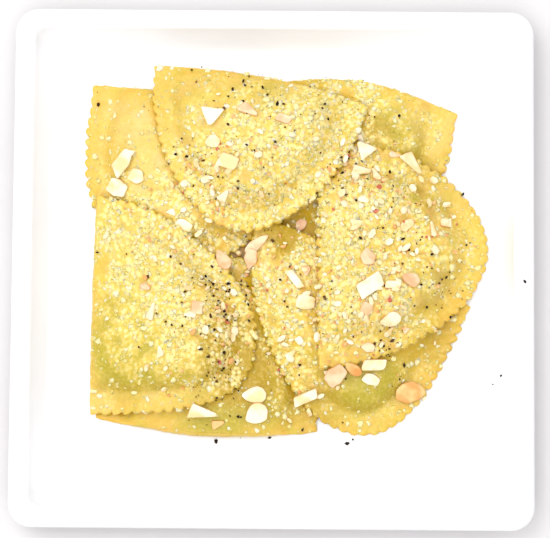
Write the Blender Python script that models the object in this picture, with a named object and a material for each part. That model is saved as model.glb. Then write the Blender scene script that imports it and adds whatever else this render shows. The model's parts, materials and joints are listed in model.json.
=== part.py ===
"""A square white plate with seven draped half-moon ravioli and its larger almond flakes.

Frame: metres, +Z up, X along the front of the plate, Y away from the diner, origin at the
bottom centre of the plate's foot ring.
"""

import math

import bmesh
import bpy
import numpy as np
from mathutils import Vector
from mathutils.bvhtree import BVHTree
from mathutils.geometry import delaunay_2d_cdt

MM = 0.001

# Plate
PLATE_HALF = 100.0 * MM
PLATE_CORNER = 9.0 * MM
RIM_TOP_Z = 17.0 * MM
RIM_INNER_HALF = 92.4 * MM
LIP_WIDE = 3.9 * MM
LIP_TALL = 3.7 * MM
FLOOR_HALF = 85.0 * MM
FLOOR_Z = 4.4 * MM
RECESS_Z = 1.2 * MM
FOOT_OUTER_HALF = 74.0 * MM
FOOT_INNER_HALF = 69.6 * MM
CORNER_STEPS = 6

# Ravioli
GAP = 0.42 * MM
FLUTE_PITCH = 4.1 * MM
FLUTE_DEEP = 1.2 * MM
DOUGH_EDGE = 2.1 * MM
FILL_RUN = 17.0 * MM
FOLD_RUN = 11.0 * MM
ROUNDING_INSET = 2.3 * MM
GRID_STEP = 7.0 * MM
DRAPE_STEP = 2.5 * MM
DRAPE_WEIGHT = 0.055 * MM
DRAPE_ROUNDS = 500

# Almond flakes
FLAKE_THICK = 1.2 * MM
FLAKE_GAP = 0.36 * MM

# name, fold middle x and y (mm), heading of the rounded side (degrees), length of the fold,
# depth, sideways shift of the tip, squareness of the left and right flank, bow of the fold,
# height of the filled middle, width of the sealed border, fluted fold
RAVIOLI = (
    ("ravioli_1_front_left", -25.0, -60.4, 86.8, 84.0, 66.0, 0.0, 2.2, 2.4, 4.5, 9.5, 8.0, False),
    ("ravioli_2_back_right", 29.3, 65.9, -96.5, 83.0, 59.0, 0.0, 2.4, 2.2, 8.0, 9.0, 8.5, False),
    ("ravioli_3_back_left", -28.6, 65.0, -99.0, 83.5, 63.5, -2.0, 2.3, 2.7, 2.0, 9.5, 7.5, False),
    ("ravioli_4_front_right", 34.9, 3.9, -112.8, 89.0, 64.0, 13.0, 2.9, 1.6, 0.5, 10.0, 8.5, False),
    ("ravioli_5_left", -69.0, -14.5, -1.0, 84.0, 63.0, -10.0, 1.65, 2.9, 0.5, 11.0, 7.5, False),
    ("ravioli_6_right", 17.5, 4.5, 0.0, 87.5, 64.8, 1.5, 2.15, 1.75, 0.8, 10.5, 9.0, True),
    ("ravioli_7_back_top", -5.0, 70.8, -101.0, 83.5, 57.7, 0.0, 1.85, 1.75, 3.0, 10.5, 7.5, False),
)

# name, centre x and y (mm), length and width (mm), turn (degrees), taper, skin colour
FLAKES = (
    ("almond_01_back_left", -58.3, 40.2, 12.7, 5.8, 52.0, 0.1, "cream"),
    ("almond_02_back_left", -60.2, 30.9, 7.9, 6.6, -20.0, 0.2, "cream"),
    ("almond_03_back_left", -53.2, 34.9, 6.9, 6.2, 20.0, -0.3, "cream"),
    ("almond_04_back_top", -23.8, 55.8, 9.5, 5.9, -5.0, -0.7, "cream"),
    ("almond_05_back_top", -17.5, 38.9, 8.8, 5.7, -15.0, 0.2, "cream"),
    ("almond_06_back_top", -9.9, 58.6, 8.4, 4.6, -30.0, 0.3, "pink"),
    ("almond_07_right_back", 33.6, 44.6, 8.1, 5.8, 45.0, 0.7, "cream"),
    ("almond_08_right_back", 33.4, 36.7, 7.7, 4.2, 0.0, -0.3, "cream"),
    ("almond_09_right_back", 52.8, 40.8, 10.8, 4.4, -45.0, 0.6, "cream"),
    ("almond_10_right", 35.8, 3.1, 7.3, 5.7, -80.0, 0.2, "pink"),
    ("almond_11_centre", -6.0, 9.6, 11.6, 4.2, 37.0, -0.3, "pink"),
    ("almond_12_left_edge", -19.6, 2.9, 9.0, 4.7, -70.0, 0.3, "pink"),
    ("almond_13_centre", -9.0, 3.2, 7.6, 4.7, 75.0, 0.3, "pink"),
    ("almond_14_centre", 8.3, -4.9, 10.4, 3.1, -50.0, 0.2, "cream"),
    ("almond_15_centre", 12.4, -13.7, 7.7, 6.1, -5.0, -0.2, "cream"),
    ("almond_16_right", 36.6, -8.2, 12.2, 6.5, 38.0, 0.1, "cream"),
    ("almond_17_right", 52.1, -5.6, 7.3, 5.0, -10.0, -0.2, "pink"),
    ("almond_18_right", 44.6, -21.1, 8.8, 4.6, 10.0, 0.3, "cream"),
    ("almond_19_front_right", 38.8, -37.6, 10.4, 4.2, 3.0, 0.1, "cream"),
    ("almond_20_front_right", 30.7, -39.0, 7.5, 3.5, -45.0, 0.1, "tan"),
    ("almond_21_front_right", 23.7, -41.8, 8.5, 6.5, 50.0, 0.3, "pink"),
    ("almond_22_front_right", 12.9, -49.6, 10.8, 3.5, 30.0, -0.2, "cream"),
    ("almond_23_front_left", -6.9, -49.3, 10.0, 6.5, 5.0, 0.3, "cream"),
    ("almond_24_front_left", -6.8, -57.4, 9.6, 6.9, 35.0, 0.6, "cream"),
    ("almond_25_front_left", -26.5, -56.4, 11.5, 5.4, -8.0, -0.3, "cream"),
    ("almond_26_front_right", 52.7, -47.0, 12.0, 8.1, 15.0, -0.2, "tan"),
    ("almond_27_left", -46.0, -18.5, 7.6, 2.4, 80.0, 0.1, "cream"),
)


def clear_scene():
    """Start from an empty scene."""
    for old in list(bpy.data.objects):
        bpy.data.objects.remove(old, do_unlink=True)


def principled(name, colour, roughness, coat=0.0):
    """A plain Principled material."""
    mat = bpy.data.materials.new(name)
    mat.use_nodes = True
    node = mat.node_tree.nodes["Principled BSDF"]
    node.inputs["Base Color"].default_value = (*colour, 1.0)
    node.inputs["Roughness"].default_value = roughness
    node.inputs["Coat Weight"].default_value = coat
    return mat


def add_node(name, mesh, mat):
    """Link one closed mesh to the scene under its own name."""
    obj = bpy.data.objects.new(name, mesh)
    mesh.materials.append(mat)
    bpy.context.scene.collection.objects.link(obj)
    return obj


# ---------------------------------------------------------------- plate


def square_ring(half, radius, z):
    """Points of a rounded square at one height, anticlockwise seen from above."""
    points = []
    for quarter in range(4):
        start = quarter * math.pi / 2
        centre = Vector((half - radius, half - radius))
        for step in range(CORNER_STEPS + 1):
            angle = math.pi / 2 * step / CORNER_STEPS
            x = centre.x + radius * math.cos(angle)
            y = centre.y + radius * math.sin(angle)
            turned_x = x * math.cos(start) - y * math.sin(start)
            turned_y = x * math.sin(start) + y * math.cos(start)
            points.append((turned_x, turned_y, z))
    return points


def lip_profile():
    """Rounded outer lip, from its underside up and over to the flat rim."""
    rings = []
    for step in range(7):
        angle = math.radians(-35.0 + 125.0 * step / 6)
        half = PLATE_HALF - LIP_WIDE + LIP_WIDE * math.cos(angle)
        z = RIM_TOP_Z - LIP_TALL + LIP_TALL * math.sin(angle)
        rings.append((half, PLATE_CORNER + 0.5 * (half - PLATE_HALF), z))
    return rings


def plate_rings():
    """Sections of the plate: recess, foot ring, outer wall, lip, rim and well."""
    rings = [
        (FOOT_INNER_HALF - 1.0 * MM, 8.0 * MM, RECESS_Z),
        (FOOT_INNER_HALF, 8.5 * MM, 0.3 * MM),
        (FOOT_INNER_HALF + 0.4 * MM, 8.6 * MM, 0.0),
        (FOOT_OUTER_HALF - 0.4 * MM, 9.0 * MM, 0.0),
        (FOOT_OUTER_HALF, 9.2 * MM, 0.4 * MM),
        (FOOT_OUTER_HALF + 1.2 * MM, 9.5 * MM, 1.6 * MM),
        (84.0 * MM, 10.0 * MM, 3.0 * MM),
        (91.0 * MM, 9.6 * MM, 6.6 * MM),
        (95.6 * MM, 9.0 * MM, 9.8 * MM),
    ]
    rings += lip_profile()
    rings += [
        (RIM_INNER_HALF + 1.2 * MM, 4.6 * MM, RIM_TOP_Z - 0.1 * MM),
        (RIM_INNER_HALF, 4.0 * MM, RIM_TOP_Z - 0.6 * MM),
        (RIM_INNER_HALF - 0.8 * MM, 3.6 * MM, RIM_TOP_Z - 1.8 * MM),
        (FLOOR_HALF + 2.6 * MM, 3.6 * MM, FLOOR_Z + 2.6 * MM),
        (FLOOR_HALF + 1.2 * MM, 3.8 * MM, FLOOR_Z + 0.8 * MM),
        (FLOOR_HALF - 1.4 * MM, 4.0 * MM, FLOOR_Z),
    ]
    return rings


def plate(mat):
    """Square porcelain plate as one closed skin over its sections."""
    bm = bmesh.new()
    loops = []
    for half, radius, z in plate_rings():
        loops.append([bm.verts.new(p) for p in square_ring(half, radius, z)])
    count = len(loops[0])
    for low, high in zip(loops, loops[1:]):
        for i in range(count):
            j = (i + 1) % count
            bm.faces.new((low[i], low[j], high[j], high[i]))
    bm.faces.new(list(reversed(loops[0])))
    bm.faces.new(loops[-1])
    bmesh.ops.triangulate(bm, faces=bm.faces[:])
    mesh = bpy.data.meshes.new("plate")
    bm.to_mesh(mesh)
    bm.free()
    return add_node("plate", mesh, mat)


# ---------------------------------------------------------------- support heights


class Pile:
    """Upper surfaces of everything laid down so far."""

    def __init__(self):
        self.points = []
        self.faces = []
        self.tree = None

    def add(self, mesh):
        """Add one closed mesh to the pile."""
        base = len(self.points)
        self.points += [v.co.copy() for v in mesh.vertices]
        self.faces += [tuple(base + i for i in p.vertices) for p in mesh.polygons]
        self.tree = BVHTree.FromPolygons(self.points, self.faces)

    def height(self, x, y):
        """Height of the pile at a point, seen from above."""
        hit = self.tree.ray_cast(Vector((x, y, 0.2)), Vector((0, 0, -1)))
        return hit[0].z if hit[0] else FLOOR_Z


# ---------------------------------------------------------------- ravioli outline


def smooth_curve(width, depth, shift, left_power, right_power, count=240):
    """Rounded side of a half-moon from its left corner over the tip to its right corner."""
    half = width / 2
    points = []
    for i in range(count + 1):
        turn = math.pi * i / count
        cosine = math.cos(turn)
        sine = max(math.sin(turn), 0.0)
        if cosine >= 0:
            reach = half - shift
            power = left_power
        else:
            reach = half + shift
            power = right_power
        u = shift + math.copysign(reach * abs(cosine) ** (2 / power), cosine)
        points.append((u, depth * sine ** (2 / power)))
    return np.array(points)


def fold_line(width, bow, count=60):
    """The folded edge from its right corner to its left corner, bowed outwards."""
    t = np.linspace(0, 1, count + 1)
    return np.column_stack([-width / 2 + width * t, -bow * np.sin(np.pi * t)])


def along(line, count):
    """Points spaced evenly along a line, and the outward normal at each."""
    steps = np.linalg.norm(np.diff(line, axis=0), axis=1)
    far = np.concatenate([[0], np.cumsum(steps)])
    at = np.linspace(0, far[-1], count + 1)
    points = np.column_stack([np.interp(at, far, line[:, k]) for k in (0, 1)])
    ahead = np.column_stack([np.interp(at + MM, far, line[:, k]) for k in (0, 1)])
    behind = np.column_stack([np.interp(at - MM, far, line[:, k]) for k in (0, 1)])
    tangent = ahead - behind
    tangent /= np.linalg.norm(tangent, axis=1)[:, None]
    return points, np.column_stack([tangent[:, 1], -tangent[:, 0]])


def line_length(line):
    """Length of a line of points."""
    return float(np.linalg.norm(np.diff(line, axis=0), axis=1).sum())


def fluted(line):
    """A line with cutter flutes: every other point out, the rest in."""
    count = 2 * round(line_length(line) / FLUTE_PITCH)
    points, normals = along(line, count)
    wave = np.where(np.arange(count + 1) % 2 == 0, -0.5, 0.5) * FLUTE_DEEP
    wave[0] = 0
    wave[-1] = 0
    return (points + normals * wave[:, None])[:-1]


def distance_to(line, points):
    """Distance from each point to a line of points, and how far along the nearest is."""
    a = line[:-1]
    b = line[1:]
    span = b - a
    square = np.maximum((span**2).sum(axis=1), 1e-18)
    best = np.full(len(points), np.inf)
    where = np.zeros(len(points))
    for k, p in enumerate(points):
        t = np.clip(((p - a) * span).sum(axis=1) / square, 0, 1)
        d = np.linalg.norm(a + span * t[:, None] - p, axis=1)
        i = int(d.argmin())
        best[k] = d[i]
        where[k] = (i + t[i]) / len(a)
    return best, where


def inside(loop, points):
    """Whether each point lies inside a closed loop."""
    x = points[:, 0][:, None]
    y = points[:, 1][:, None]
    x0, y0 = loop[:, 0], loop[:, 1]
    x1, y1 = np.roll(x0, -1), np.roll(y0, -1)
    crosses = (y0 > y) != (y1 > y)
    rise = np.where(y1 == y0, 1e-12, y1 - y0)
    at = x0 + (y - y0) * (x1 - x0) / rise
    return ((crosses & (x < at)).sum(axis=1) % 2) == 1


class HalfMoon:
    """Flat shape of one ravioli and where its dough is thick."""

    def __init__(self, row):
        name, mx, my, turn, width, depth, shift, left, right, bow, tall, border, all_round = row
        self.name = name
        self.middle = np.array([mx, my]) * MM
        self.turn = math.radians(turn)
        self.curve = smooth_curve(width * MM, depth * MM, shift * MM, left, right)
        self.fold = fold_line(width * MM, bow * MM)
        self.loop = np.concatenate([self.curve[:-1], self.fold[:-1]])
        self.tall = tall * MM
        self.border = border * MM
        self.all_round = all_round

    def rim(self):
        """Outline with its flutes, anticlockwise."""
        curve = fluted(self.curve)
        if self.all_round:
            fold = fluted(self.fold)
        else:
            fold = along(self.fold, 14)[0][:-1]
        return np.concatenate([curve, fold])

    def border_at(self, where):
        """Width of the sealed border, wider near the two corners."""
        return self.border * (0.92 + 0.35 * np.abs(2 * where - 1) ** 4)

    def ring(self, inset, count):
        """Points at a fixed distance inside the smooth outline."""
        closed = np.concatenate([self.loop, self.loop[:1]])
        points, normals = along(closed, count)
        kept = (points - normals * inset)[:-1]
        clear, _ = distance_to(closed, kept)
        return kept[(clear > inset - 0.12 * MM) & inside(self.loop, kept)]

    def crease(self, count):
        """Points where the sealed border meets the filled middle."""
        points, normals = along(self.curve, count)
        where = np.linspace(0, 1, count + 1)
        wide = self.border_at(where)
        kept = points - normals * wide[:, None]
        clear, _ = distance_to(self.curve, kept)
        fold_clear, _ = distance_to(self.fold, kept)
        good = (clear > wide - 0.25 * MM) & (fold_clear > 3.4 * MM)
        return kept[good & inside(self.loop, kept)]

    def grid(self):
        """Points of the filled middle on a triangular grid."""
        low = self.loop.min(axis=0)
        high = self.loop.max(axis=0)
        rows = int((high[1] - low[1]) / (GRID_STEP * 0.866)) + 1
        cols = int((high[0] - low[0]) / GRID_STEP) + 2
        points = []
        for row in range(rows):
            for col in range(cols):
                u = low[0] + (col + 0.5 * (row % 2)) * GRID_STEP
                v = low[1] + (row + 0.5) * GRID_STEP * 0.866
                points.append((u, v))
        points = np.array(points)
        points = points[inside(self.loop, points)]
        curve_clear, where = distance_to(self.curve, points)
        fold_clear, _ = distance_to(self.fold, points)
        good = curve_clear > self.border_at(where) + 3.2 * MM
        return points[good & (fold_clear > 5.2 * MM)]

    def thickness(self, points):
        """Dough and filling together: thin border, fold rounded over, full middle."""
        curve_clear, where = distance_to(self.curve, points)
        fold_clear, _ = distance_to(self.fold, points)
        rise = np.clip((curve_clear - self.border_at(where)) / FILL_RUN, 0, 1)
        turn = np.clip((fold_clear + 0.6 * MM) / FOLD_RUN, 0, 1)
        full = np.sqrt(1 - (1 - rise) ** 2) ** 0.85 * np.sqrt(1 - (1 - turn) ** 2)
        lumps = np.sin(points[:, 0] * 150 + self.middle[0] * 90)
        lumps = lumps * np.sin(points[:, 1] * 170 + self.middle[1] * 70)
        full = full * (1 + 0.07 * lumps)
        return DOUGH_EDGE + (self.tall - DOUGH_EDGE) * full

    def place(self, points):
        """Local shape points to places on the plate."""
        ahead = np.array([math.cos(self.turn), math.sin(self.turn)])
        left = np.array([-math.sin(self.turn), math.cos(self.turn)])
        return self.middle + points[:, :1] * left + points[:, 1:] * ahead


# ---------------------------------------------------------------- draping


def neighbour_mean(field, mask):
    """Mean over the four neighbours that belong to the sheet."""
    total = np.zeros_like(field)
    count = np.zeros_like(field)
    for axis in (0, 1):
        for step in (-1, 1):
            near = np.roll(mask, step, axis=axis)
            total += np.where(near, np.roll(field, step, axis=axis), 0)
            count += near
    return total / np.maximum(count, 1)


def drape(moon, pile):
    """Underside heights of a soft sheet laid over the pile, on a square grid."""
    outline = moon.place(moon.loop)
    low = outline.min(axis=0) - 4 * DRAPE_STEP
    size = np.ceil((outline.max(axis=0) + 4 * DRAPE_STEP - low) / DRAPE_STEP).astype(int)
    xs = low[0] + DRAPE_STEP * np.arange(size[0])
    ys = low[1] + DRAPE_STEP * np.arange(size[1])
    places = np.array([(x, y) for x in xs for y in ys])
    clear, _ = distance_to(np.concatenate([outline, outline[:1]]), places)
    mask = inside(outline, places) | (clear < 1.6 * DRAPE_STEP)
    mask = mask.reshape(size)
    mask[0, :] = mask[-1, :] = False
    mask[:, 0] = mask[:, -1] = False
    held = np.array([pile.height(x, y) for x, y in places]).reshape(size) + GAP
    field = np.where(mask, held.max(where=mask, initial=0), 0)
    for _ in range(DRAPE_ROUNDS):
        field = np.where(mask, np.maximum(held, neighbour_mean(field, mask) - DRAPE_WEIGHT), 0)
    for _ in range(6):
        eased = 0.5 * (field + neighbour_mean(field, mask))
        field = np.where(mask, np.maximum(held, eased), 0)
    return low, field


def heights_at(low, field, places):
    """Heights of a draped sheet at places between its grid points."""
    at = (places - low) / DRAPE_STEP
    i = np.clip(at.astype(int), 0, np.array(field.shape) - 2)
    f = at - i
    a = field[i[:, 0], i[:, 1]] * (1 - f[:, 0]) + field[i[:, 0] + 1, i[:, 1]] * f[:, 0]
    b = field[i[:, 0], i[:, 1] + 1] * (1 - f[:, 0]) + field[i[:, 0] + 1, i[:, 1] + 1] * f[:, 0]
    return a * (1 - f[:, 1]) + b * f[:, 1]


def clear_of_pile(places, bottoms, triangles, pile, gap):
    """Raise corners of the sheet until each facet keeps its gap to the pile."""
    shares = []
    count = 7
    for i in range(count + 1):
        for j in range(count + 1 - i):
            shares.append((i / count, j / count, 1 - (i + j) / count))
    shares = np.array(shares)
    held = []
    for triangle in triangles:
        spots = shares @ places[list(triangle)]
        held.append(np.array([pile.height(x, y) for x, y in spots]) + gap)
    for _ in range(40):
        raised = False
        for triangle, floor in zip(triangles, held):
            corners = list(triangle)
            short = floor - shares @ bottoms[corners]
            worst = int(short.argmax())
            if short[worst] > 1e-7:
                weight = shares[worst]
                bottoms[corners] += short[worst] * weight / (weight**2).sum()
                raised = True
        if not raised:
            break
    return bottoms


def ravioli(row, pile, mat):
    """One half-moon draped on the pile: a flat net, lowered, then given its thickness."""
    moon = HalfMoon(row)
    rim = moon.rim()
    round_ring = moon.ring(ROUNDING_INSET, 52)
    inner = np.concatenate([round_ring, moon.crease(34), moon.grid()])
    flat = np.concatenate([rim, inner])
    net = delaunay_2d_cdt([Vector(p) for p in flat / MM], [], [list(range(len(rim)))], 1, 1e-5)
    local = np.array([(v.x, v.y) for v in net[0]]) * MM
    triangles = [tuple(f) for f in net[2]]
    places = moon.place(local)
    low, field = drape(moon, pile)
    bottoms = heights_at(low, field, places)
    bottoms = clear_of_pile(places, bottoms, triangles, pile, GAP)
    tops = bottoms + moon.thickness(local)
    return closed_sheet(row[0], places, bottoms, tops, triangles, pile, mat)


def closed_sheet(name, places, bottoms, tops, triangles, pile, mat):
    """Close a net into a solid: an underside, a top above it and a wall round the rim."""
    bm = bmesh.new()
    for (x, y), z in zip(places, bottoms):
        bm.verts.new((x, y, z))
    bm.verts.ensure_lookup_table()
    for triangle in triangles:
        bm.faces.new([bm.verts[i] for i in triangle])
    bmesh.ops.recalc_face_normals(bm, faces=bm.faces[:])
    bm.verts.index_update()
    source = {v.index: v.co.copy() for v in bm.verts}
    lid = bmesh.ops.extrude_face_region(bm, geom=bm.faces[:], use_keep_orig=True)
    raised = [g for g in lid["geom"] if isinstance(g, bmesh.types.BMVert)]
    lookup = {}
    for i, co in source.items():
        lookup[(round(co.x, 9), round(co.y, 9))] = i
    for vert in raised:
        i = lookup[(round(vert.co.x, 9), round(vert.co.y, 9))]
        vert.co.z = tops[i]
    bmesh.ops.recalc_face_normals(bm, faces=bm.faces[:])
    bmesh.ops.triangulate(bm, faces=bm.faces[:])
    if bm.calc_volume(signed=True) < 0:
        bmesh.ops.reverse_faces(bm, faces=bm.faces[:])
    mesh = bpy.data.meshes.new(name)
    bm.to_mesh(mesh)
    bm.free()
    pile.add(mesh)
    return add_node(name, mesh, mat)


# ---------------------------------------------------------------- almond flakes


def flake_outline(long, wide, taper, count=9):
    """Outline of a flake: a squarish oval, wider towards one end."""
    points = []
    for i in range(count):
        turn = 2 * math.pi * (i + 0.3) / count
        cosine = math.cos(turn)
        sine = math.sin(turn)
        u = math.copysign(abs(cosine) ** 0.85, cosine)
        v = math.copysign(abs(sine) ** 0.85, sine) * (1 + taper * u)
        points.append((u * long / 2, v * wide / 2))
    return np.array(points)


def resting_plane(spots, heights):
    """Plane a small flake leans on: fitted to the higher ground under it."""
    high = heights > heights.max() - 4.5 * MM
    if high.sum() < 4:
        return np.array([0.0, 0.0, heights.max()])
    middle = spots.mean(axis=0)
    table = np.column_stack([spots[high] - middle, np.ones(high.sum())])
    plane = np.linalg.lstsq(table, heights[high], rcond=None)[0]
    slope = math.hypot(plane[0], plane[1])
    if slope > 0.6:
        plane[:2] *= 0.6 / slope
    return plane


def flake(row, pile, mats):
    """One thin almond flake laid on the pile, slightly domed."""
    name, x, y, long, wide, turn, taper, skin = row
    outline = flake_outline(long * MM, wide * MM, taper)
    c, s = math.cos(math.radians(turn)), math.sin(math.radians(turn))
    outline = outline @ np.array([[c, s], [-s, c]])
    middle = np.array([x, y]) * MM
    rings = [middle + outline * share for share in (1.0, 0.8, 0.6, 0.4, 0.2, 0.0)]
    more = [middle + (outline + np.roll(outline, 1, axis=0)) / 2 * k for k in (1.0, 0.7, 0.4)]
    spots = np.concatenate(rings + more)
    ground = np.array([pile.height(px, py) for px, py in spots])
    plane = resting_plane(spots, ground)
    local = spots - spots.mean(axis=0)
    lie = local @ plane[:2]
    gap = FLAKE_GAP * math.sqrt(1 + plane[0] ** 2 + plane[1] ** 2)
    base = float((ground - lie).max()) + gap
    centre = spots.mean(axis=0)
    bm = bmesh.new()
    low = []
    high = []
    for px, py in middle + outline:
        z = base + (np.array([px, py]) - centre) @ plane[:2]
        low.append(bm.verts.new((px, py, z)))
    for px, py in middle + outline * 0.93:
        z = base + (np.array([px, py]) - centre) @ plane[:2]
        high.append(bm.verts.new((px, py, z + FLAKE_THICK)))
    z = base + (middle - centre) @ plane[:2]
    peak = bm.verts.new((middle[0], middle[1], z + FLAKE_THICK * 1.3))
    for i in range(len(low)):
        j = (i + 1) % len(low)
        bm.faces.new((low[i], low[j], high[j], high[i]))
        bm.faces.new((high[i], high[j], peak))
    bm.faces.new(list(reversed(low)))
    bmesh.ops.triangulate(bm, faces=bm.faces[:])
    bmesh.ops.recalc_face_normals(bm, faces=bm.faces[:])
    mesh = bpy.data.meshes.new(name)
    bm.to_mesh(mesh)
    bm.free()
    pile.add(mesh)
    return add_node(name, mesh, mats[skin])


def build():
    """Plate first, then the ravioli from the bottom of the pile up, then the flakes."""
    clear_scene()
    porcelain = principled("white_porcelain", (0.90, 0.90, 0.89), 0.12, 0.5)
    dough = principled("egg_pasta", (0.87, 0.72, 0.34), 0.45)
    skins = {
        "cream": principled("almond_cream", (0.90, 0.80, 0.62), 0.5),
        "pink": principled("almond_pink", (0.86, 0.62, 0.48), 0.5),
        "tan": principled("almond_tan", (0.80, 0.52, 0.27), 0.5),
    }
    pile = Pile()
    pile.add(plate(porcelain).data)
    for row in RAVIOLI:
        ravioli(row, pile, dough)
    for row in FLAKES:
        flake(row, pile, skins)


build()
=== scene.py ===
"""Looks of a square white plate of half-moon ravioli with grated cheese, pepper and almonds."""

import json
import math

import bmesh
import bpy
import numpy as np
from mathutils import Matrix, Vector, noise
from mathutils.bvhtree import BVHTree

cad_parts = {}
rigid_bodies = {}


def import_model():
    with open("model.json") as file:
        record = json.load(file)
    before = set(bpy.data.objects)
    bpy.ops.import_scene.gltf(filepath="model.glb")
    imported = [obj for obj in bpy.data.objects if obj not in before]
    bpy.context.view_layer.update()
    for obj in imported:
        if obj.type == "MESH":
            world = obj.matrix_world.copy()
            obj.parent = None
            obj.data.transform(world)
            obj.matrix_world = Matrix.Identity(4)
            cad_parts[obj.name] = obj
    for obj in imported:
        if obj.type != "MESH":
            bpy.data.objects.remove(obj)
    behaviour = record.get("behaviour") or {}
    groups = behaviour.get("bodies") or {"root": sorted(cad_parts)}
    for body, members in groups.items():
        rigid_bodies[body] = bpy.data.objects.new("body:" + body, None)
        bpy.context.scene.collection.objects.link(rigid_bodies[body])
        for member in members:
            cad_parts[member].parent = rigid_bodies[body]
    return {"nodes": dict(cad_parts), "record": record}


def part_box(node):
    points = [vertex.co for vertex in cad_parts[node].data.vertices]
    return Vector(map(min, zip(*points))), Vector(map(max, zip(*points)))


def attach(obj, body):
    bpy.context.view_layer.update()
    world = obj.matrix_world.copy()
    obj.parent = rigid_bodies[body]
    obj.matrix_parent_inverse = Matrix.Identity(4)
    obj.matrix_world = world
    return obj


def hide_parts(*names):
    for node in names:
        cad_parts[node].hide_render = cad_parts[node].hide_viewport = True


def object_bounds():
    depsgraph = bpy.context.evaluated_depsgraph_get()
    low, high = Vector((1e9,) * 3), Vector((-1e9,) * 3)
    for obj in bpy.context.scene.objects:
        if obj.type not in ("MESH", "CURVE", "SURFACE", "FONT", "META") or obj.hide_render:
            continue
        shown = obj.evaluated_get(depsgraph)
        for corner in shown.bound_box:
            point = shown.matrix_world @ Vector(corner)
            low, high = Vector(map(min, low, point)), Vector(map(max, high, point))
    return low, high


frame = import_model()
bpy.context.view_layer.update()
CAD_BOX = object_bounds()
MM = 0.001
UP = Vector((0, 0, 1))
HALF_TURN = 3.14159  # radians
OVERHEAD = 0.1  # metres, above everything on the plate
TOPPING_GAP = 0.02 * MM  # how far toppings and dough stay below the CAD's top
DOUGH_GAP = 0.05 * MM
RAVIOLI = sorted(name for name in frame["nodes"] if name.startswith("ravioli"))
ALMONDS = sorted(name for name in frame["nodes"] if name.startswith("almond"))


# ---------------------------------------------------------------- small tools


def linear(hex_colour):
    """An sRGB hex colour as linear RGBA."""
    values = [int(hex_colour[i : i + 2], 16) / 255 for i in (1, 3, 5)]
    return [v / 12.92 if v <= 0.04045 else ((v + 0.055) / 1.055) ** 2.4 for v in values] + [1.0]


def node(tree, kind, inputs=None, **settings):
    """Add one node with its settings, values and links."""
    made = tree.nodes.new(kind)
    for name, value in settings.items():
        setattr(made, name, value)
    for name, value in (inputs or {}).items():
        socket = made.inputs[name]
        if isinstance(value, bpy.types.NodeSocket):
            tree.links.new(value, socket)
        else:
            socket.default_value = value
    return made


def new_material(name):
    """An empty node material, its tree and the place on the object in metres."""
    mat = bpy.data.materials.new(name)
    mat.use_nodes = True
    mat.node_tree.nodes.clear()
    return mat, mat.node_tree, node(mat.node_tree, "ShaderNodeTexCoord").outputs["Object"]


def finish_material(tree, values):
    """Join a surface with these values to the output."""
    shader = node(tree, "ShaderNodeBsdfPrincipled", values)
    node(tree, "ShaderNodeOutputMaterial", {"Surface": shader.outputs["BSDF"]})


def bumped(tree, height, strength, deep_mm):
    """The normal of a surface with this relief."""
    values = {"Height": height, "Strength": strength, "Distance": deep_mm * MM}
    return node(tree, "ShaderNodeBump", values).outputs["Normal"]


def mixed(tree, share, low, high):
    """Colour between two colours or sockets."""
    made = node(tree, "ShaderNodeMix", {0: share, 6: low, 7: high}, data_type="RGBA")
    return made.outputs[2]


def remap(tree, value, low, high, to_low=0.0, to_high=1.0):
    """Stretch a value smoothly from one range to another and hold it at the ends."""
    made = node(
        tree,
        "ShaderNodeMapRange",
        {
            "Value": value,
            "From Min": low,
            "From Max": high,
            "To Min": to_low,
            "To Max": to_high,
        },
        interpolation_type="SMOOTHSTEP",
    )
    return made.outputs["Result"]


def math_node(tree, operation, a, b):
    """One sum, product or power."""
    return node(tree, "ShaderNodeMath", {0: a, 1: b}, operation=operation).outputs[0]


def product(tree, a, b):
    """Two values multiplied."""
    return math_node(tree, "MULTIPLY", a, b)


def noise_at(tree, place, size_mm, detail=3.0, rough=0.5):
    """Noise whose features are about a real size in millimetres."""
    made = node(
        tree,
        "ShaderNodeTexNoise",
        {"Vector": place, "Scale": 1000.0 / size_mm, "Detail": detail, "Roughness": rough},
    )
    return made.outputs["Fac"]


def attribute(tree, name):
    """A value stored on the mesh."""
    return node(tree, "ShaderNodeAttribute", attribute_name=name).outputs["Fac"]


def add_piece(name, mesh, mat, smooth=True):
    """Link a finished mesh as one piece with its material."""
    obj = bpy.data.objects.new(name, mesh)
    bpy.context.scene.collection.objects.link(obj)
    mesh.materials.clear()
    mesh.materials.append(mat)
    mesh.polygons.foreach_set("use_smooth", [smooth] * len(mesh.polygons))
    mesh.update()
    return obj


def grid_faces(rows, count):
    """Quads between closed rows of points, numbered row by row."""
    quads = []
    for r in range(rows - 1):
        for i in range(count):
            j = (i + 1) % count
            quads.append((r * count + i, r * count + j, (r + 1) * count + j, (r + 1) * count + i))
    return quads


def capped_mesh(name, points, rows):
    """A closed mesh over rows of points, with one face over each end."""
    count = len(points) // rows
    faces = grid_faces(rows, count)
    faces.append(tuple(reversed(range(count))))
    faces.append(tuple(range(len(points) - count, len(points))))
    mesh = bpy.data.meshes.new(name)
    mesh.from_pydata(points, [], faces)
    return mesh


def as_mesh(bm, name):
    """A finished bmesh as a mesh."""
    mesh = bpy.data.meshes.new(name)
    bm.to_mesh(mesh)
    bm.free()
    return mesh


def mesh_points(mesh):
    """A mesh's points as an array."""
    co = np.empty(len(mesh.vertices) * 3, np.float32)
    mesh.vertices.foreach_get("co", co)
    return co.reshape(-1, 3).astype(float)


def place_points(mesh, points):
    """Move a mesh's points to these places."""
    mesh.vertices.foreach_set("co", points.astype(np.float32).ravel())


def stored(mesh, label):
    """A stored value of every point."""
    values = np.empty(len(mesh.vertices), np.float32)
    mesh.attributes[label].data.foreach_get("value", values)
    return values


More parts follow.
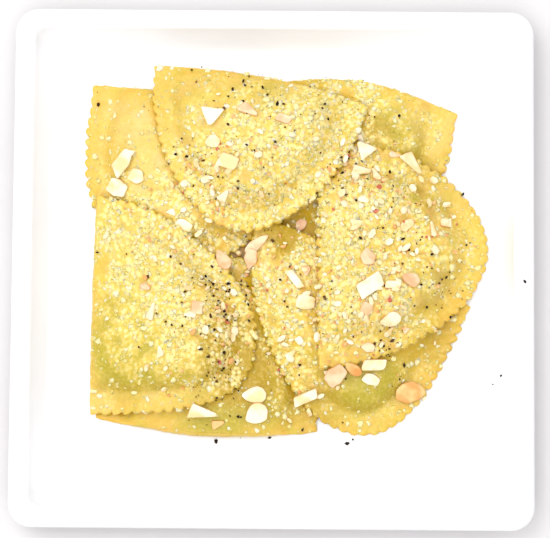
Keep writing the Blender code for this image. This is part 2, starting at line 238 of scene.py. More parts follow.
def store(mesh, label, values):
    """Store a value on every point."""
    layer = mesh.attributes.new(label, "FLOAT", "POINT")
    layer.data.foreach_set("value", values.astype(np.float32))


WELD = 2e-6  # metres, between points of the CAD that are one point


def merged_copy(name):
    """A CAD node's mesh with its loose triangles joined."""
    bm = bmesh.new()
    bm.from_mesh(frame["nodes"][name].data)
    bm.transform(frame["nodes"][name].matrix_world)
    bmesh.ops.remove_doubles(bm, verts=bm.verts[:], dist=WELD)
    return bm


# ---------------------------------------------------------------- ravioli shapes

AROUND = 620  # points round each outline
BORDER_ROWS = (0.3, 0.7) + tuple(1.2 + 0.58 * k for k in range(17))
INNER_ROWS = 40
UNDER_ROWS = 8
EDGE_ANGLES = (-58, -25, 8, 40, 66)  # degrees round the edge's half circle
EDGE_RADIUS = 1.7 * MM
EDGE_BAND = 10 * MM  # how far in from the outline the edge value rises to 1
WELL_ABOVE = 0.2  # metres over or under the object, from where rays are sent


def rim_points(bm):
    """The outline of a ravioli's top sheet, in order, from the walls that drop from it."""
    ring = {}
    for edge in bm.edges:
        if len(edge.link_faces) != 2:
            continue
        a, b = (face.normal.z for face in edge.link_faces)
        top = max(a, b)
        side = min(abs(a), abs(b))
        if top > 0.05 and side < 0.004:
            v, w = edge.verts
            ring.setdefault(v, []).append(w)
            ring.setdefault(w, []).append(v)
    start = next(iter(ring))
    order = [start]
    last, here = None, start
    while True:
        ahead = [v for v in ring[here] if v is not last]
        last, here = here, ahead[0]
        if here is start or len(order) > len(ring):
            break
        order.append(here)
    points = np.array([(v.co.x, v.co.y) for v in order])
    x, y = points[:, 0], points[:, 1]
    if (x * np.roll(y, -1) - np.roll(x, -1) * y).sum() < 0:
        points = points[::-1]
    return points


def smooth_loop(points, count):
    """A closed curve through the points, evenly spaced, so that the flutes run as soft waves."""
    before, after, beyond = (np.roll(points, k, axis=0) for k in (1, -1, -2))
    curve = []
    for t in np.arange(12) / 12:
        a = 2 * points
        b = (after - before) * t
        c = (2 * before - 5 * points + 4 * after - beyond) * t**2
        d = (-before + 3 * points - 3 * after + beyond) * t**3
        curve.append(0.5 * (a + b + c + d))
    curve = np.stack(curve, axis=1).reshape(-1, 2)
    closed = np.concatenate([curve, curve[:1]])
    far = np.concatenate([[0], np.cumsum(np.linalg.norm(np.diff(closed, axis=0), axis=1))])
    at = np.linspace(0, far[-1], count + 1)[:-1]
    return np.column_stack([np.interp(at, far, closed[:, k]) for k in (0, 1)])


def blurred(field, weight, sigma):
    """Gaussian blur that ignores empty cells and fills them from their neighbours."""
    reach = int(math.ceil(3 * sigma))
    kernel = np.exp(-0.5 * (np.arange(-reach, reach + 1) / sigma) ** 2)
    total = field * weight
    share = weight.astype(float)
    for axis in (0, 1):
        total = np.apply_along_axis(np.convolve, axis, total, kernel, "same")
        share = np.apply_along_axis(np.convolve, axis, share, kernel, "same")
    return total / np.maximum(share, 1e-9)


class Surface:
    """Underside and thickness of one CAD ravioli, smoothed on a 1 mm grid."""

    def __init__(self, name):
        bm = merged_copy(name)
        bm.normal_update()
        self.rim = rim_points(bm)
        tree = BVHTree.FromBMesh(bm)
        bm.free()
        pad = 5 * MM
        self.low = self.rim.min(axis=0) - pad
        size = np.ceil((self.rim.max(axis=0) + pad - self.low) / MM).astype(int) + 1
        under = np.zeros(size)
        thick = np.zeros(size)
        known = np.zeros(size, bool)
        for i in range(size[0]):
            for j in range(size[1]):
                x, y = self.low + (i * MM, j * MM)
                high = tree.ray_cast(Vector((x, y, WELL_ABOVE)), -UP)[0]
                low = tree.ray_cast(Vector((x, y, -WELL_ABOVE)), UP)[0]
                if high and low:
                    under[i, j] = low.z
                    thick[i, j] = high.z - low.z
                    known[i, j] = True
        self.under = blurred(under, known, sigma=2.4)
        self.thick = blurred(thick, known, sigma=1.5)

    def sample(self, field, points):
        """Values of one field at points."""
        at = (points - self.low) / MM
        i = np.clip(at.astype(int), 0, np.array(field.shape) - 2)
        f = at - i
        a = field[i[:, 0], i[:, 1]] * (1 - f[:, 0]) + field[i[:, 0] + 1, i[:, 1]] * f[:, 0]
        b = field[i[:, 0], i[:, 1] + 1] * (1 - f[:, 0])
        b = b + field[i[:, 0] + 1, i[:, 1] + 1] * f[:, 0]
        return a * (1 - f[:, 1]) + b * f[:, 1]


def ripple(points, size_mm, seed):
    """Soft noise at points, between about -1 and 1."""
    scale = 1 / (size_mm * MM)
    shift = Vector((seed * 7.3, seed * 3.1, seed * 1.7))
    return np.array([noise.noise(Vector((x * scale, y * scale, 0)) + shift) for x, y in points])


def nearest_distance(loop, points):
    """Distance from each point to the outline."""
    found = np.empty(len(points))
    step = 2000
    for start in range(0, len(points), step):
        part = points[start : start + step]
        gap = part[:, None, :] - loop[None, :, :]
        found[start : start + step] = np.sqrt((gap**2).sum(axis=2)).min(axis=1)
    return found


def scalloped(wave, loop, seed):
    """Turn even zigzag flutes into rounded lobes with narrow notches, some worn flatter."""
    deep = np.max([np.roll(np.abs(wave), k) for k in range(-7, 8)], axis=0)
    fluted = np.clip((deep / MM - 0.15) / 0.2, 0, 1) * np.clip((1.15 - deep / MM) / 0.25, 0, 1)
    fluted = sum(np.roll(fluted, k) for k in range(-6, 7)) / 13
    notch = np.clip((1 - wave / np.maximum(deep, 1e-6)) / 2, 0, 1)
    worn = np.clip(1.15 + 1.0 * ripple(loop, 11, seed + 60), 0.5, 1.5)
    lobed = (1 - 2 * notch**2.2) * deep * worn
    return wave + (lobed - wave) * fluted


def ravioli_mesh(name, seed):
    """One ravioli: fluted rounded edge, sealed border, filled middle with soft lumps."""
    surface = Surface(name)
    loop = smooth_loop(surface.rim, AROUND)
    even = sum(np.roll(loop, k, axis=0) for k in range(-16, 17)) / 33
    centre = loop.mean(axis=0)
    outward = even - centre
    outward /= np.linalg.norm(outward, axis=1)[:, None]
    wave = ((loop - even) * outward).sum(axis=1)
    wave = scalloped(wave, loop, seed)
    ragged = ripple(loop, 2.2, seed + 40) * 0.28 + ripple(loop, 7, seed + 44) * 0.35 - 0.25
    loop = even + outward * (wave + np.clip(ragged, -0.8, 0.1) * MM)[:, None]
    inward = centre - loop
    reach = np.linalg.norm(inward, axis=1)
    inward /= reach[:, None]
    inner = loop + inward * 1.2 * MM
    edge_thick = np.maximum(surface.sample(surface.thick, inner), EDGE_RADIUS)
    edge_under = surface.sample(surface.under, inner)
    radius = np.minimum(edge_thick / 2, EDGE_RADIUS)

    def row_at(distance):
        """Points of the row that lies this far in from the rounded edge."""
        return loop + inward * np.minimum(distance, reach)[:, None]

    inner_start = BORDER_ROWS[-1] * MM
    shares = np.linspace(0, 1, INNER_ROWS + 2)[1:-1]
    insets = [radius + d * MM for d in BORDER_ROWS]
    insets += [radius + inner_start + (reach - radius - inner_start) * s for s in shares]
    top_rows = [row_at(radius)] + [row_at(inset) for inset in insets]
    under_shares = np.linspace(0, 1, UNDER_ROWS + 1)[:-1]
    under_rows = [row_at(radius + (reach - radius) * s) for s in under_shares]

    top = np.concatenate(top_rows + [centre[None]])
    clear = nearest_distance(loop, top)
    thick = surface.sample(surface.thick, top)
    border = np.clip((thick / MM - 2.4) / 2.5, 0, 1)
    lumps = ripple(top, 9, seed) * 0.55 + ripple(top, 3.4, seed + 9) * 0.22
    skin = ripple(top, 5, seed + 20) * 0.14 + ripple(top, 1.7, seed + 30) * 0.06
    fade = np.clip(clear / (2.2 * MM), 0, 1)
    thick = thick + (lumps * border + skin * fade) * MM
    z_top = surface.sample(surface.under, top) + thick
    dip = np.clip(1 - clear / (2.4 * MM), 0, 1) ** 2
    z_top = z_top - dip * 0.25 * MM
    flute = np.tile(np.clip(wave / MM, -1, 1), len(top_rows))
    z_top[:-1] += flute * 0.28 * MM * np.exp(-clear[:-1] / (2.6 * MM))

    points = []
    marks = []
    for row in reversed(under_rows):
        z = surface.sample(surface.under, row)
        points.append(np.column_stack([row, z]))
        marks.append(np.zeros((AROUND, 3)))
    top_first = z_top[:AROUND]
    middle = (edge_under + top_first) / 2
    half = (top_first - edge_under) / 2
    for angle in EDGE_ANGLES:
        turn = math.radians(angle)
        row = row_at(radius * (1 - math.cos(turn)))
        z = middle + half * math.sin(turn)
        points.append(np.column_stack([row, z]))
        marks.append(np.column_stack([np.zeros(AROUND), np.zeros(AROUND), np.ones(AROUND)]))
    fill = np.clip((surface.sample(surface.thick, top) / MM - 2.2) / 8.0, 0, 1)
    for r in range(len(top_rows)):
        part = slice(r * AROUND, (r + 1) * AROUND)
        points.append(np.column_stack([top[part], z_top[part]]))
        marks.append(np.column_stack([clear[part] / EDGE_BAND, fill[part], np.ones(AROUND)]))
    rows = len(points)
    low_centre = np.array([[*centre, surface.sample(surface.under, centre[None])[0]]])
    high_centre = np.array([[*centre, z_top[-1]]])
    verts = np.concatenate(points + [low_centre, high_centre])
    mark = np.concatenate(marks + [[[0, 0, 0]], [[clear[-1] / EDGE_BAND, fill[-1], 1]]])
    low_id = rows * AROUND
    faces = grid_faces(rows, AROUND)
    for i in range(AROUND):
        j = (i + 1) % AROUND
        faces.append((low_id, j, i))
        last = (rows - 1) * AROUND
        faces.append((low_id + 1, last + i, last + j))
    mesh = bpy.data.meshes.new(name)
    mesh.from_pydata(verts.tolist(), [], faces)
    for k, label in enumerate(("edge", "fill", "upper")):
        store(mesh, label, mark[:, k])
    return mesh


# ---------------------------------------------------------------- plate shape

PLATE_STEPS = 14


def rounded_square(half, radius):
    """Points of a rounded square with extra points along its sides, anticlockwise."""
    points = []
    for quarter in range(4):
        c, s = math.cos(quarter * math.pi / 2), math.sin(quarter * math.pi / 2)
        corner = []
        for step in range(PLATE_STEPS + 1):
            angle = math.pi / 2 * step / PLATE_STEPS
            x = half - radius + radius * math.cos(angle)
            y = half - radius + radius * math.sin(angle)
            corner.append((x, y))
        for share in (0.15, 0.35, 0.5, 0.65, 0.85):
            x = (half - radius) * (1 - 2 * share)
            corner.append((x, half))
        points += [(x * c - y * s, x * s + y * c) for x, y in corner]
    return points


def plate_sections(half, rim_z):
    """Half width, corner radius and height of each section, from the foot to the well."""
    foot = [
        (0.2, 0.1, 1.2), (35.0, 6.0, 1.2), (67.2, 8.0, 1.2), (68.9, 8.3, 1.0),
        (69.6, 8.5, 0.35), (70.1, 8.6, 0.0), (73.5, 9.0, 0.0), (74.0, 9.2, 0.4),
        (74.6, 9.4, 1.2), (76.2, 9.6, 1.8), (84.0, 10.0, 3.0), (88.0, 9.8, 4.8),
        (91.5, 9.6, 7.0), (95.0, 9.1, 9.3),
    ]
    rows = [(h * MM, r * MM, z * MM) for h, r, z in foot]
    wide, tall = 7.0 * MM, 4.6 * MM
    for step in range(13):
        angle = math.radians(-25.0 + 115.0 * step / 12)
        reach = half - wide + wide * math.cos(angle)
        rows.append((reach, 9 * MM + 0.5 * (reach - half), rim_z - tall + tall * math.sin(angle)))
    well = [
        (92.7, 5.2, -0.06), (92.4, 4.9, -0.25), (92.1, 4.5, -0.65), (91.8, 4.2, -1.3),
        (91.5, 3.9, -2.1), (91.1, 3.7, -3.3), (90.3, 3.6, -5.0), (89.1, 3.6, -7.2),
        (87.8, 3.6, -9.2), (86.6, 3.7, -10.7), (85.4, 3.9, -11.7), (84.0, 4.0, -12.3),
        (82.2, 4.0, -12.6), (70.0, 4.0, -12.6), (40.0, 3.0, -12.6), (0.2, 0.1, -12.6),
    ]
    rows += [(h * MM, r * MM, rim_z + z * MM) for h, r, z in well]
    return rows


def plate_mesh():
    """The plate as one closed smooth skin over its sections."""
    low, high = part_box("plate")
    sections = plate_sections((high[0] - low[0]) / 2, high[2])
    points = []
    for half, radius, z in sections:
        points += [(x, y, z) for x, y in rounded_square(half, radius)]
    return capped_mesh("glazed_plate", points, len(sections))


# ---------------------------------------------------------------- almond flakes


# outlines of broken almond slices, along and across, from -1 to 1
OUTLINES = {
    "slab": ((-1, -0.85), (0.72, -1), (1, 0.8), (-0.75, 1)),
    "horned": ((-1, -0.7), (0.1, -1), (0.62, -0.55), (1, -0.75), (0.7, 0.7), (-0.6, 1)),
    "wedge": ((-1, -0.9), (0.95, -0.3), (1, 0.1), (-0.72, 1)),
    "triangle": ((-1, -0.9), (1, -1), (0.25, 1), (-0.1, 0.95)),
    "block": ((-1, -0.75), (-0.1, -1), (0.95, -0.65), (1, 0.6), (-0.1, 1), (-0.85, 0.7)),
    "kite": ((-1, 0.1), (-0.2, -0.95), (0.85, -0.9), (1, 0.35), (0.1, 1)),
    "leaf": (
        *((-1, 0), (-0.6, -0.6), (0, -0.95), (0.55, -0.95), (0.92, -0.5)),
        *((1, 0.1), (0.8, 0.7), (0.35, 1), (-0.25, 0.8), (-0.7, 0.4)),
    ),
    "bowed": (
        *((-1, -0.35), (-0.3, -0.9), (0.45, -0.9), (1, -0.45)),
        *((0.95, 0.2), (0.45, 0.85), (-0.2, 1), (-0.8, 0.6)),
    ),
}
# each flake's outline and heading in degrees
FLAKES = {
    "almond_01_back_left": ("horned", 48),
    "almond_02_back_left": ("block", -20),
    "almond_03_back_left": ("kite", 20),
    "almond_04_back_top": ("triangle", 175),
    "almond_05_back_top": ("slab", -15),
    "almond_06_back_top": ("wedge", -30),
    "almond_07_right_back": ("triangle", 45),
    "almond_08_right_back": ("wedge", 0),
    "almond_09_right_back": ("wedge", -45),
    "almond_10_right": ("kite", -80),
    "almond_11_centre": ("leaf", 217),
    "almond_12_left_edge": ("leaf", -70),
    "almond_13_centre": ("kite", 75),
    "almond_14_centre": ("slab", -50),
    "almond_15_centre": ("block", -5),
    "almond_16_right": ("slab", 38),
    "almond_17_right": ("leaf", -10),
    "almond_18_right": ("leaf", 10),
    "almond_19_front_right": ("slab", 3),
    "almond_20_front_right": ("leaf", -45),
    "almond_21_front_right": ("block", 50),
    "almond_22_front_right": ("slab", 30),
    "almond_23_front_left": ("leaf", 5),
    "almond_24_front_left": ("leaf", 35),
    "almond_25_front_left": ("wedge", -8),
    "almond_26_front_right": ("bowed", 15),
    "almond_27_left": ("wedge", 80),
}


def slice_mesh(outline, long, wide, thick, place, seed):
    """A thin broken slice: jagged outline, tight edges, uneven top, skin left on one side."""
    corners = [Vector((u * long / 2, v * wide / 2, 0)) for u, v in OUTLINES[outline]]
    shift = Vector((seed * 3.3, seed * 5.1, seed * 2.2))
    ring = []
    for a, b in zip(corners, corners[1:] + corners[:1]):
        steps = max(1, round((b - a).length / (0.8 * MM)))
        for k in range(steps):
            point = a.lerp(b, k / steps)
            ring.append(point * (1 + 0.1 * noise.noise(point * 800 + shift)))
    count = len(ring)
    ring = [(ring[k - 1] + ring[k] * 2 + ring[(k + 1) % count]) / 4 for k in range(count)]
    rows = (  # share of the outline, height as a share of the thickness
        *((0.88, -0.5), (0.98, -0.34), (1.0, 0.3), (0.97, 0.46)),
        *((0.9, 0.5), (0.7, 0.54), (0.45, 0.56), (0.2, 0.56)),
    )
    points = []
    rind = []
    for share, height in rows:
        for point in ring:
            spot_here = Vector((point.x * share, point.y * share, 0))
            bump = noise.noise(spot_here * 600 + shift) * 0.16 * MM if share < 0.95 else 0
            points.append(spot_here + Vector((0, 0, height * thick + (bump if height > 0 else 0))))
            rind.append(float(share > 0.93 and point.y > wide * 0.12))
    mesh = capped_mesh("slice", [place @ p for p in points], len(rows))
    store(mesh, "rind", np.array(rind))
    below_box_top(mesh)
    return mesh


def almond_mesh(name, seed):
    """The flake that stands in one CAD flake's place, as long, wide and tilted as it is."""
    outline, turn = FLAKES[name]
    bm = merged_copy(name)
    co = np.array([v.co[:] for v in bm.verts])
    bm.free()
    centre = (co.min(axis=0) + co.max(axis=0)) / 2
    normal = np.linalg.svd(co - co.mean(axis=0))[2][2]
    if normal[2] < 0:
        normal = -normal
    heading = np.array([math.cos(math.radians(turn)), math.sin(math.radians(turn)), 0])
    along = heading - normal * (heading @ normal)
    along /= np.linalg.norm(along)
    across = np.cross(normal, along)
    spans = [np.ptp(co @ axis) for axis in (along, across, normal)]
    place = Matrix(np.column_stack([along, across, normal]).tolist()).to_4x4()
    place.translation = Vector(centre)
    return slice_mesh(outline, spans[0], spans[1], min(spans[2] * 0.8, 1.3 * MM), place, seed)


def joined(name, meshes):
    """Several meshes as one."""
    bm = bmesh.new()
    for mesh in meshes:
        bm.from_mesh(mesh)
    return as_mesh(bm, name)


# ---------------------------------------------------------------- scattering


def crumb_shape(name, detail, squash, jag, seed):
    """One small crumb about 1 unit across: a rounded lump pushed out of shape."""
    bm = bmesh.new()
    bmesh.ops.create_icosphere(bm, subdivisions=detail, radius=0.5)
    shift = Vector((seed * 4.7, seed * 2.9, seed * 6.1))
    for vert in bm.verts:
        vert.co *= 1 + jag * noise.noise(vert.co * 2.3 + shift)
        vert.co.x *= 1 + 0.25 * math.sin(seed * 1.9)
        vert.co.z *= squash
    return as_mesh(bm, name)


def chip_shape(name, sides, long, thick, seed):
    """One small flat chip about 1 unit long with a broken outline."""
    bm = bmesh.new()
    low = []
    high = []
    for i in range(sides):
        turn = 2 * math.pi * i / sides
        wobble = 1 + 0.32 * noise.noise(Vector((math.cos(turn), math.sin(turn), seed * 3.7)) * 1.7)
        x = 0.5 * math.cos(turn) * wobble
        y = 0.5 / long * math.sin(turn) * wobble
        low.append(bm.verts.new((x, y, 0)))
        high.append(bm.verts.new((x * 0.9, y * 0.88, thick)))
    for i in range(sides):
        j = (i + 1) % sides
        bm.faces.new((low[i], low[j], high[j], high[i]))
    bm.faces.new(list(reversed(low)))
    bm.faces.new(high)
    bmesh.ops.triangulate(bm, faces=bm.faces[:])
    return as_mesh(bm, name)


def scatter_tree():
    """Geometry nodes that strew shapes over a surface by a stored amount."""
    tree = bpy.data.node_groups.new("strew_over_surface", "GeometryNodeTree")
    sockets = {
        "Geometry": ("Surface",),
        "Collection": ("Shapes",),
        "String": ("Amount",),
        "Float": ("Per Square Metre", "Spacing", "Smallest", "Largest", "Tumble", "Lift"),
        "Int": ("Seed",),
        "Material": ("Material",),
    }
    for kind, names in sockets.items():
        for name in names:
            tree.interface.new_socket(name, in_out="INPUT", socket_type="NodeSocket" + kind)
    tree.interface.new_socket("Geometry", in_out="OUTPUT", socket_type="NodeSocketGeometry")
    given = node(tree, "NodeGroupInput").outputs
    amount = node(tree, "GeometryNodeInputNamedAttribute", {"Name": given["Amount"]})
    spread = node(
        tree,
        "GeometryNodeDistributePointsOnFaces",
        {
            "Mesh": given["Surface"],
            "Distance Min": given["Spacing"],
            "Density Max": given["Per Square Metre"],
            "Density Factor": amount.outputs["Attribute"],
            "Seed": given["Seed"],
        },
        distribute_method="POISSON",
    )
    up = node(
        tree,
        "ShaderNodeVectorMath",
        {"Vector": spread.outputs["Normal"], "Scale": given["Lift"]},
        operation="SCALE",
    )
    placed = node(
        tree,
        "GeometryNodeSetPosition",
        {"Geometry": spread.outputs["Points"], "Offset": up.outputs["Vector"]},
    )
    flipped = product(tree, given["Tumble"], -1.0)
    low = node(tree, "ShaderNodeCombineXYZ", {"X": flipped, "Y": flipped, "Z": -HALF_TURN})
    tumbled = {"X": given["Tumble"], "Y": given["Tumble"], "Z": HALF_TURN}
    high = node(tree, "ShaderNodeCombineXYZ", tumbled)
    turn = node(
        tree,
        "FunctionNodeRandomValue",
        {0: low.outputs[0], 1: high.outputs[0], "Seed": given["Seed"]},
        data_type="FLOAT_VECTOR",
    )
    turned = node(tree, "FunctionNodeEulerToRotation", {"Euler": turn.outputs[0]})
    lying = node(
        tree,
        "FunctionNodeRotateRotation",
        {"Rotation": spread.outputs["Rotation"], "Rotate By": turned.outputs[0]},
        rotation_space="LOCAL",
    )
    chance = node(tree, "FunctionNodeRandomValue", {"Seed": given["Seed"]}, data_type="FLOAT")
    mostly_small = math_node(tree, "POWER", chance.outputs[1], 1.8)
    span = math_node(tree, "SUBTRACT", given["Largest"], given["Smallest"])
    grown = product(tree, mostly_small, span)
    size = math_node(tree, "ADD", grown, given["Smallest"])
    pick = node(tree, "FunctionNodeRandomValue", {5: 99, "Seed": given["Seed"]}, data_type="INT")
    shapes = node(
        tree,
        "GeometryNodeCollectionInfo",
        {"Collection": given["Shapes"], "Separate Children": True, "Reset Children": True},
    )
    strewn = node(
        tree,
        "GeometryNodeInstanceOnPoints",
        {
            "Points": placed.outputs["Geometry"],
            "Instance": shapes.outputs["Instances"],
            "Pick Instance": True,
            "Instance Index": pick.outputs[2],
            "Rotation": lying.outputs[0],
            "Scale": size,
        },
    )
    tone = node(tree, "FunctionNodeRandomValue", {"Seed": 5}, data_type="FLOAT")
    kept = node(
        tree,
        "GeometryNodeStoreNamedAttribute",
        {"Geometry": strewn.outputs[0], "Name": "tone", "Value": tone.outputs[1]},
        data_type="FLOAT",
        domain="INSTANCE",
    )
    real = node(tree, "GeometryNodeRealizeInstances", {"Geometry": kept.outputs[0]})
    dressed = node(
        tree,
        "GeometryNodeSetMaterial",
        {"Geometry": real.outputs[0], "Material": given["Material"]},
    )
    node(tree, "NodeGroupOutput", {"Geometry": dressed.outputs[0]})
    return tree


def strew(name, tree, ground, shapes, mat, values):
    """Run the scattering once on the ground and keep the result as a plain mesh."""
    group = bpy.data.collections.new(name + "_shapes")
    for k, mesh in enumerate(shapes):
        group.objects.link(bpy.data.objects.new("%s_shape_%d" % (name, k), mesh))
    holder = bpy.data.objects.new(name + "_ground", ground.copy())
    bpy.context.scene.collection.objects.link(holder)
    modifier = holder.modifiers.new("strew", "NODES")
    modifier.node_group = tree
    idents = {s.name: s.identifier for s in tree.interface.items_tree if s.in_out == "INPUT"}
    modifier[idents["Shapes"]] = group
    modifier[idents["Material"]] = mat
    for key, value in values.items():
        modifier[idents[key]] = value
    bpy.context.view_layer.update()
    graph = bpy.context.evaluated_depsgraph_get()
    mesh = bpy.data.meshes.new_from_object(holder.evaluated_get(graph))
    mesh.name = name
    bpy.data.objects.remove(holder, do_unlink=True)
    for obj in list(group.objects):
        bpy.data.objects.remove(obj, do_unlink=True)
    bpy.data.collections.remove(group)
    below_box_top(mesh)
    return mesh


def below_box_top(mesh):
    """Press anything that would stand above the object's true height down to it."""
    co = mesh_points(mesh)
    co[:, 2] = np.minimum(co[:, 2], CAD_BOX[1][2] - TOPPING_GAP)
    place_points(mesh, co)


# how much cheese lies on each ravioli away from its border and the heaps
SPRINKLED = {
    "ravioli_1_front_left": 0.14,
    "ravioli_2_back_right": 0.32,
    "ravioli_3_back_left": 0.2,
    "ravioli_4_front_right": 0.34,
    "ravioli_5_left": 0.36,
    "ravioli_6_right": 0.3,
    "ravioli_7_back_top": 0.24,
}
# heaps of each topping, by ravioli: place as shares of its box, spread in mm, strength
CHEESE = (
    ("ravioli_7_back_top", (
        (0.42, 0.28, 15, 1.0), (0.55, 0.6, 13, 0.5), (0.7, 0.4, 11, 0.9),
        (0.34, 0.12, 9, 1.0), (0.2, 0.36, 7, 0.4), (0.85, 0.7, 12, 0.5),
        (0.95, 0.85, 8, 0.4),
    )),
    ("ravioli_5_left", (
        (0.3, 0.82, 12, 0.9), (0.5, 0.62, 14, 0.9), (0.68, 0.4, 12, 0.9),
        (0.8, 0.55, 9, 1.0), (0.35, 0.38, 11, 0.4), (0.8, 0.2, 8, 0.6),
    )),
    ("ravioli_6_right", (
        (0.1, 0.78, 13, 1.0), (0.1, 0.48, 12, 1.0), (0.2, 0.25, 11, 1.0),
        (0.4, 0.84, 10, 0.9), (0.5, 0.6, 13, 0.6), (0.5, 0.3, 9, 0.6),
    )),
    ("ravioli_4_front_right", (
        (0.09, 0.65, 11, 1.0), (0.14, 0.47, 10, 1.0), (0.23, 0.27, 8, 0.8),
    )),
    ("ravioli_2_back_right", (
        (0.55, 0.49, 6, 0.5), (0.45, 0.9, 10, 0.4),
    )),
    ("ravioli_1_front_left", ((0.64, 0.26, 8, 0.25),)),
    ("ravioli_3_back_left", ((0.4, 0.3, 8, 0.5),)),
    ("ravioli_4_front_right", ((0.17, 0.885, 4.5, -1.4),)),
    ("ravioli_1_front_left", ((0.62, 0.5, 8, -0.5),)),
)
PEPPER = (
    ("ravioli_5_left", (
        (0.8, 0.52, 6.5, 1.0), (0.68, 0.59, 4.5, 0.6), (0.74, 0.34, 5.0, 0.8),
        (0.52, 0.5, 7.0, 0.35), (0.64, 0.12, 2.0, 1.0), (0.8, 0.18, 5.0, 0.6),
    )),
    ("ravioli_6_right", (
        (0.26, 0.9, 5.0, 1.0), (0.1, 0.81, 4.5, 0.7), (0.17, 0.71, 5.0, 0.35),
        (0.45, 0.62, 8.0, 0.4), (0.66, 0.4, 9.0, 0.4), (0.2, 0.22, 5.0, 0.6),
        (0.37, 0.11, 3.5, 0.8), (0.08, 0.35, 3.5, 0.4),
    )),
    ("ravioli_4_front_right", (
        (0.06, 0.9, 3.5, 0.7), (0.18, 0.7, 8.0, 0.25), (0.68, 0.22, 2.5, 0.9),
        (0.61, 0.4, 5.0, 0.4),
    )),
    ("ravioli_7_back_top", (
        (0.17, 0.46, 4.0, 0.7), (0.39, 0.8, 11.0, 0.2), (0.33, 0.4, 7.0, 0.35),
        (0.6, 0.6, 11.0, 0.22),
    )),
    ("ravioli_2_back_right", ((0.6, 0.77, 6.0, 0.3),)),
    ("ravioli_1_front_left", ((0.6, 0.1, 9.0, 0.15),)),
)
CRUMBS = (
    ("ravioli_6_right", (
        (0.35, 0.6, 17, 0.6), (0.25, 0.25, 11, 1.0), (0.3, 0.85, 9, 0.9),
        (0.62, 0.65, 8, 0.8),
    )),
    ("ravioli_4_front_right", (
        (0.15, 0.7, 9, 1.0), (0.25, 0.3, 9, 0.6),
    )),
    ("ravioli_5_left", (
        (0.8, 0.45, 9, 1.0), (0.4, 0.8, 9, 0.6), (0.6, 0.2, 9, 0.3),
    )),
    ("ravioli_7_back_top", (
        (0.3, 0.3, 11, 0.8), (0.5, 0.55, 10, 0.3),
    )),
)
# where butter has soaked the dough and where shade falls: painted darker golden
BUTTER_AND_SHADE = (
    ("ravioli_1_front_left", (
        (0.62, 0.5, 9, 0.9), (0.66, 0.3, 9, 0.7),
    )),
    ("ravioli_4_front_right", (
        (0.165, 0.885, 5, 0.9), (0.3, 0.12, 10, 0.4), (0.85, 0.4, 10, 0.4),
    )),
    ("ravioli_5_left", (
        (0.64, 0.82, 5, 0.6), (0.2, 0.08, 8, 0.2),
    )),
    ("ravioli_2_back_right", ((0.63, 0.67, 6, 0.5),)),
)
# where the dough is left bare and the green filling shows through it
SHOWING = (
    ("ravioli_5_left", (
        (0.26, 0.26, 12, 1.0), (0.22, 0.5, 8, 0.6),
    )),
    ("ravioli_2_back_right", (
        (0.63, 0.67, 9, 1.0), (0.8, 0.5, 9, 0.5),
    )),
    ("ravioli_1_front_left", (
        (0.62, 0.5, 12, 1.0), (0.66, 0.3, 12, 0.8), (0.5, 0.12, 10, 0.5),
    )),
    ("ravioli_4_front_right", (
        (0.36, 0.26, 12, 0.8), (0.55, 0.25, 12, 0.8), (0.13, 0.88, 6, 0.8),
    )),
    ("ravioli_6_right", (
        (0.62, 0.72, 12, 0.6), (0.66, 0.4, 9, 0.4),
    )),
    ("ravioli_7_back_top", ((0.55, 0.75, 12, 0.4),)),
)
# pepper on the bare plate: place as shares of its box, size in mm
STRAYS = (
    (0.394, 0.168, 1.5), (0.644, 0.166, 1.8), (0.496, 0.176, 1.0), (0.938, 0.297, 0.9),
    (0.923, 0.282, 0.7), (0.98, 0.474, 1.1), (0.655, 0.174, 0.8),
)
